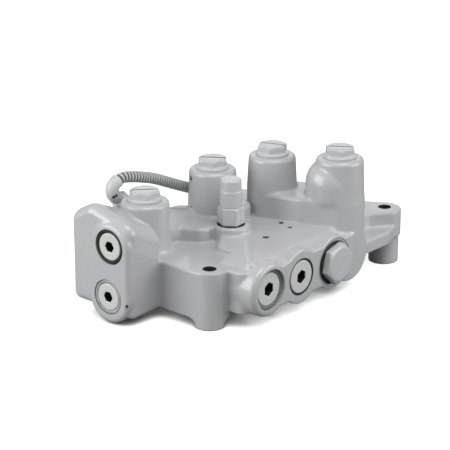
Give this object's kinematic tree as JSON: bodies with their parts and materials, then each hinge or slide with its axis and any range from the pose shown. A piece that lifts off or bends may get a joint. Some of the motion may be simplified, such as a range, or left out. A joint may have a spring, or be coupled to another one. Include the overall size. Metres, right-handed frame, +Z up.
{
  "type": "hydraulic bucket positioning valve",
  "caption": "Painted cast hydraulic manifold valve with round poppet towers under slotted hexagon plugs, a relief cartridge, a spool, socket plugs, mounting feet and a short conduit.",
  "frame": {"origin": "on the mounting plane under the feet, midway between the two front feet along X", "axes": "+X along the front face to the right, +Y from the front face to the rear, +Z up from the mounting plane along the towers"},
  "size_m": [0.2663, 0.1637, 0.1158],
  "materials": {
    "casting": "glossy light grey paint on cast iron",
    "fittings": "glossy light grey paint on steel",
    "socket_plugs": "satin pale grey-green paint on steel",
    "black_seals": "satin black",
    "painted_seals": "grey overspray",
    "inner_steel": "ground",
    "spring_steel": "oiled",
    "conduit": "overpainted grey",
    "conduit_sleeve": "overpainted grey",
    "glands": "light grey paint"
  },
  "bodies": {
    "housing": {"valve_body": "casting", "tower_plug_1": "fittings", "tower_plug_2": "fittings", "tower_plug_3": "fittings", "tower_plug_4": "fittings", "spool_plug": "fittings", "spool_rear_plug": "fittings", "relief_body": "fittings", "relief_cap": "fittings", "front_plug_left": "socket_plugs", "front_plug_middle": "socket_plugs", "end_plug_lower": "socket_plugs", "end_plug_upper": "socket_plugs", "tower_oring_1": "black_seals", "tower_oring_2": "black_seals", "tower_oring_3": "black_seals", "tower_oring_4": "black_seals", "relief_oring": "black_seals", "end_oring_upper": "black_seals", "front_oring_middle": "black_seals", "spool_plug_oring": "black_seals", "spool_rear_oring": "black_seals", "end_oring_lower": "painted_seals", "front_oring_left": "painted_seals", "relief_seat": "inner_steel", "relief_screw": "inner_steel", "relief_locknut": "inner_steel", "poppet_spring_1": "spring_steel", "poppet_spring_2": "spring_steel", "poppet_spring_3": "spring_steel", "poppet_spring_4": "spring_steel", "relief_spring": "spring_steel", "spool_spring_front": "spring_steel", "spool_spring_rear": "spring_steel", "conduit": "conduit", "conduit_sleeve": "conduit_sleeve", "conduit_gland_left": "glands", "conduit_gland_right": "glands"},
    "poppet_1_body": {"poppet_1": "inner_steel"},
    "poppet_2_body": {"poppet_2": "inner_steel"},
    "poppet_3_body": {"poppet_3": "inner_steel"},
    "poppet_4_body": {"poppet_4": "inner_steel"},
    "relief_poppet_body": {"relief_poppet": "inner_steel"},
    "spool_body": {"spool": "inner_steel"}
  },
  "joints": [
    {"name": "poppet_1_lift", "type": "slide", "parent": "housing", "child": "poppet_1_body", "axis": [0, 0, 1], "range_m": [0, 0.005], "stiffness_N_per_m": 3000, "springref_m": -0.004, "deforming": ["poppet_spring_1"]},
    {"name": "poppet_2_lift", "type": "slide", "parent": "housing", "child": "poppet_2_body", "axis": [0, 0, 1], "range_m": [0, 0.005], "stiffness_N_per_m": 3000, "springref_m": -0.004, "deforming": ["poppet_spring_2"]},
    {"name": "poppet_3_lift", "type": "slide", "parent": "housing", "child": "poppet_3_body", "axis": [0, 0, 1], "range_m": [0, 0.005], "stiffness_N_per_m": 3000, "springref_m": -0.004, "deforming": ["poppet_spring_3"]},
    {"name": "poppet_4_lift", "type": "slide", "parent": "housing", "child": "poppet_4_body", "axis": [0, 0, 1], "range_m": [0, 0.005], "stiffness_N_per_m": 3000, "springref_m": -0.004, "deforming": ["poppet_spring_4"]},
    {"name": "relief_lift", "type": "slide", "parent": "housing", "child": "relief_poppet_body", "axis": [0, 0, 1], "range_m": [0, 0.002], "stiffness_N_per_m": 6000, "springref_m": -0.003, "deforming": ["relief_spring"]},
    {"name": "spool_slide", "type": "slide", "parent": "housing", "child": "spool_body", "axis": [0, 1, 0], "range_m": [-0.004, 0.004], "stiffness_N_per_m": 8000, "deforming": ["spool_spring_front", "spool_spring_rear"]}
  ]
}
